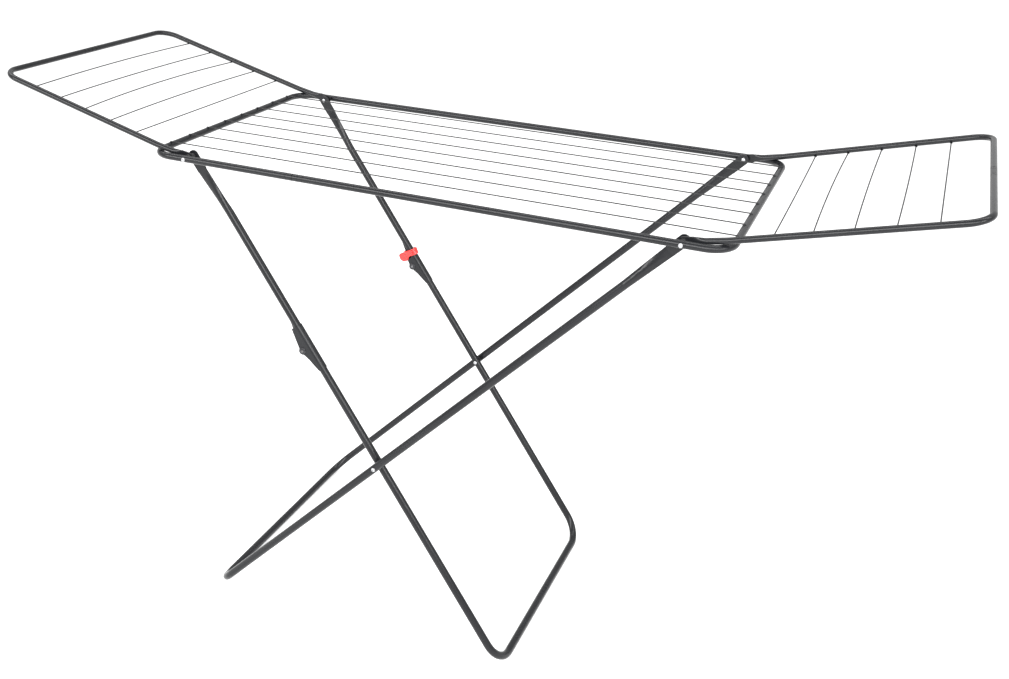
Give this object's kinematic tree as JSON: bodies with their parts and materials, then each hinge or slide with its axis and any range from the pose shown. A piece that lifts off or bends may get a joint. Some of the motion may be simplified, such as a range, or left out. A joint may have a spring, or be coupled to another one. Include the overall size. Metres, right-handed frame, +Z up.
{
  "type": "clothes drying rack",
  "caption": "Folding winged clothes drying rack: a rounded tube frame with long wires, two hinged wings that rise outwards, crossed tube legs with a folding knee and a red lock ring.",
  "frame": {"origin": "on the floor under the middle of the frame", "axes": "+X along the long wires towards the wing at the viewer's right, -Y towards the front, +Z up"},
  "size_m": [1.799, 0.5538, 1.0315],
  "materials": {
    "dark_coat": "satin",
    "wire_coat": "satin",
    "zinc": "bright",
    "bare_steel": "dull",
    "dark_steel": "satin",
    "black_plastic": "matte",
    "red_plastic": "gloss"
  },
  "bodies": {
    "frame": {"main_frame": "dark_coat", "main_frame_joint_sleeve": "bare_steel", "main_wire_1": "wire_coat", "main_wire_2": "wire_coat", "main_wire_3": "wire_coat", "main_wire_4": "wire_coat", "main_wire_5": "wire_coat", "main_wire_6": "wire_coat", "main_wire_7": "wire_coat", "main_wire_8": "wire_coat", "pivot_rivets_left": "zinc", "pivot_rivets_right": "zinc", "pivot_washers_left": "black_plastic", "pivot_washers_right": "black_plastic", "pivot_spacers_left": "black_plastic", "pivot_spacers_right": "black_plastic"},
    "wing_left": {"wing_left_front_tube": "dark_coat", "wing_left_back_tube": "dark_coat", "wing_left_joint_sleeve": "bare_steel", "wing_left_wire_1": "wire_coat", "wing_left_wire_2": "wire_coat", "wing_left_wire_3": "wire_coat", "wing_left_wire_4": "wire_coat", "wing_left_wire_5": "wire_coat"},
    "wing_right": {"wing_right_front_tube": "dark_coat", "wing_right_back_tube": "dark_coat", "wing_right_joint_sleeve": "bare_steel", "wing_right_wire_1": "wire_coat", "wing_right_wire_2": "wire_coat", "wing_right_wire_3": "wire_coat", "wing_right_wire_4": "wire_coat", "wing_right_wire_5": "wire_coat"},
    "outer_leg": {"outer_leg_front_tube": "dark_coat", "outer_leg_back_tube": "dark_coat", "outer_leg_joint_sleeve": "bare_steel", "crossing_rivets_outer": "zinc", "crossing_washers": "black_plastic"},
    "upper_links": {"upper_link_front": "dark_coat", "upper_link_back": "dark_coat"},
    "inner_leg": {"inner_leg_front_tube": "dark_coat", "inner_leg_back_tube": "dark_coat", "inner_leg_joint_sleeve": "bare_steel", "knee_pins": "dark_steel", "crossing_rivets_inner": "zinc"},
    "lock_ring": {"lock_ring": "red_plastic"}
  },
  "joints": [
    {"name": "wing_left_fold", "type": "hinge", "parent": "frame", "child": "wing_left", "pos_m": [-0.462, 0, 0.918], "axis": [0, 1, 0], "range_deg": [0, 155]},
    {"name": "wing_right_fold", "type": "hinge", "parent": "frame", "child": "wing_right", "pos_m": [0.462, 0, 0.918], "axis": [0, -1, 0], "range_deg": [0, 155]},
    {"name": "outer_leg_fold", "type": "hinge", "parent": "frame", "child": "outer_leg", "pos_m": [0.462, 0, 0.918], "axis": [0, 1, 0], "range_deg": [0, 43.37]},
    {"name": "upper_links_fold", "type": "hinge", "parent": "frame", "child": "upper_links", "pos_m": [-0.462, 0, 0.918], "axis": [0, -1, 0], "range_deg": [0, 53.24]},
    {"name": "knee_fold", "type": "hinge", "parent": "upper_links", "child": "inner_leg", "pos_m": [-0.23133, 0, 0.57128], "axis": [0, 1, 0], "range_deg": [0, 180.02]},
    {"name": "lock_ring_slide", "type": "slide", "parent": "upper_links", "child": "lock_ring", "axis": [-0.5806, 0, 0.8142], "range_m": [0, 0.06]}
  ],
  "couplings": [
    {"joint": "upper_links_fold", "follows": "outer_leg_fold", "ratio": 1.227},
    {"joint": "knee_fold", "follows": "outer_leg_fold", "ratio": 4.1499}
  ]
}
